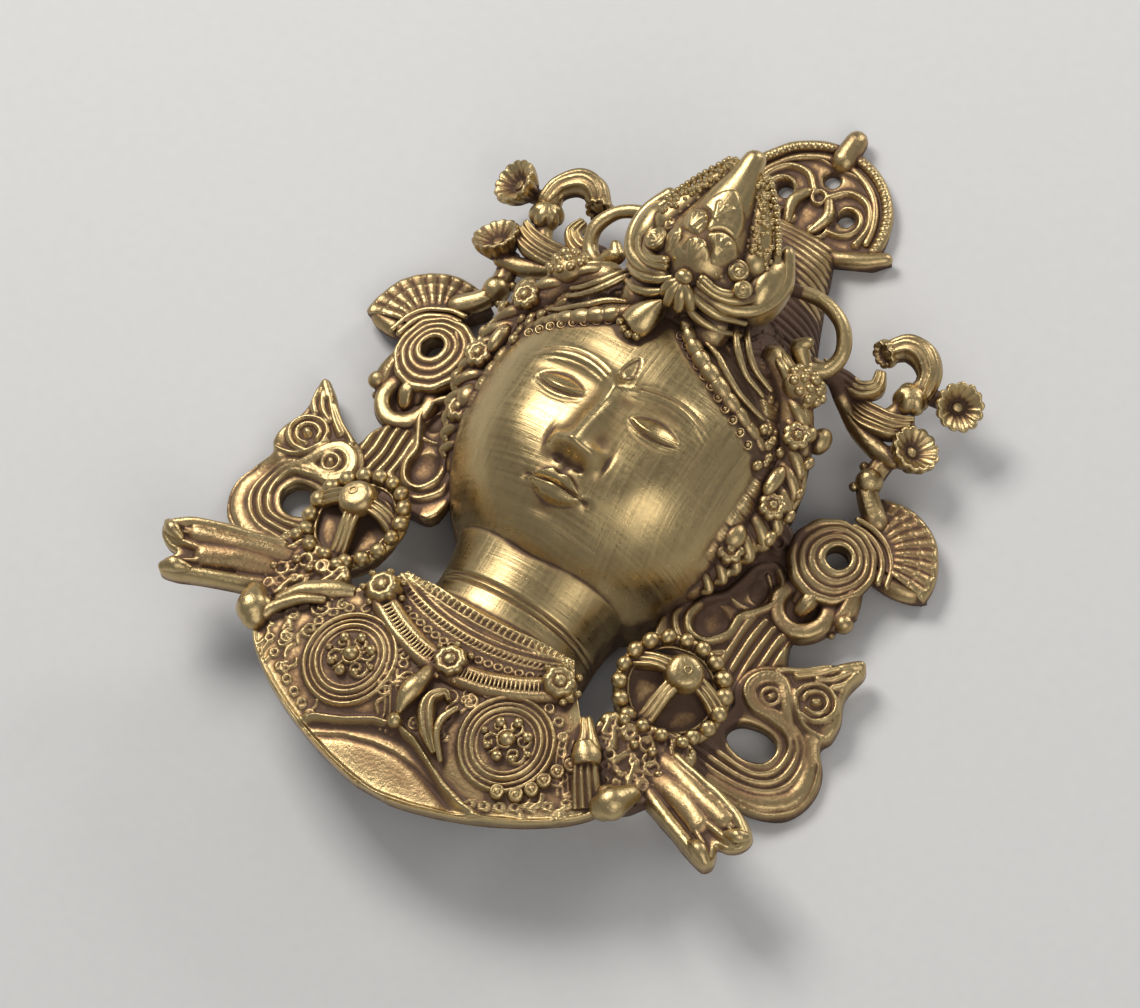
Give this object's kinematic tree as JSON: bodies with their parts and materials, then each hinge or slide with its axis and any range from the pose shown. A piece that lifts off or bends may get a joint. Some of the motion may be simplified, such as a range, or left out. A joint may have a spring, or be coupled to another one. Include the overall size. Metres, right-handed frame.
{
  "type": "brass wall mask",
  "caption": "Hollow cast brass wall mask of a crowned head with a jewelled bib, pierced scrollwork on both sides and a holed crest plate, open at the back.",
  "frame": {"origin": "centre of the bounding box in X and Y, on the plane the mask's back rests on", "axes": "+Z out of the face, +Y up the mask towards the crest, +X to the viewer's right of the upright mask"},
  "size_m": [0.2034, 0.267, 0.0733],
  "materials": {
    "brass": "worn brushed brass, dark patina in the recesses"
  },
  "bodies": {
    "root": {"mask": "brass"}
  },
  "joints": []
}
